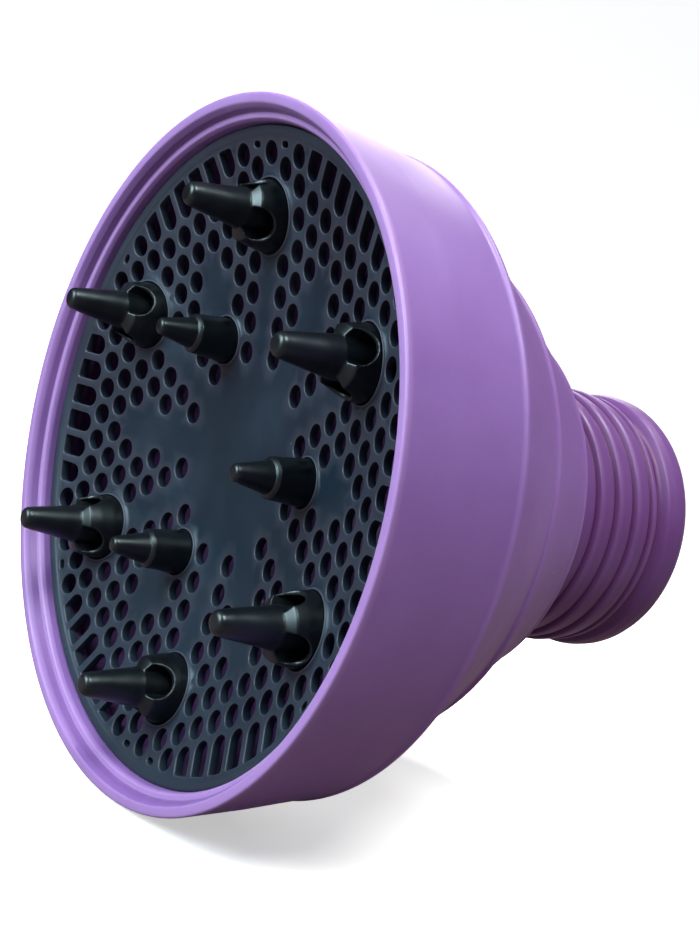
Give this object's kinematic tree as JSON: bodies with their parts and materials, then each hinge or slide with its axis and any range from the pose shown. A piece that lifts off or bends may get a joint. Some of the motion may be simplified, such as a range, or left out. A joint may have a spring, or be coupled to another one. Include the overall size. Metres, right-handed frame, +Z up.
{
  "type": "dryer diffuser",
  "caption": "Round collapsible silicone diffuser for a hair dryer: folding bowl and ribbed stretch neck, dished perforated grille with vented outer prongs and stepped inner prongs.",
  "frame": {"origin": "centre of the bounding box, on the axis of revolution, 58.95 mm behind the rim front and 69.55 mm in front of the neck mouth", "axes": "+Y along the air path towards the neck mouth where the dryer fits, -Y the way the prongs point, +Z up through outer prong 1, +X to the right seen from the front"},
  "size_m": [0.1548, 0.1391, 0.155],
  "materials": {
    "silicone": "satin purple silicone, slightly dusty",
    "grille": "matte slate-black moulded plastic",
    "prong": "semi-gloss black moulded plastic"
  },
  "bodies": {
    "neck": {"neck_flange": "silicone", "neck_sleeve": "silicone", "end_collar": "silicone"},
    "step": {"step_ring": "silicone", "fold_band_b": "silicone"},
    "bowl": {"bowl_shell": "silicone", "fold_band_a": "silicone"},
    "grille": {"grille_plate": "grille", "outer_prong_1": "prong", "outer_prong_2": "prong", "outer_prong_3": "prong", "outer_prong_4": "prong", "outer_prong_5": "prong", "outer_prong_6": "prong", "inner_prong_1": "prong", "inner_prong_2": "prong", "inner_prong_3": "prong"}
  },
  "joints": [
    {"name": "fold_b", "type": "slide", "parent": "neck", "child": "step", "axis": [0, 1, 0], "range_m": [0, 0.029], "deforming": ["fold_band_b"]},
    {"name": "fold_a", "type": "slide", "parent": "step", "child": "bowl", "axis": [0, 1, 0], "range_m": [0, 0.034], "deforming": ["fold_band_a"]},
    {"name": "grille_out", "type": "slide", "parent": "bowl", "child": "grille", "axis": [0, -1, 0], "range_m": [0, 0.032]}
  ]
}
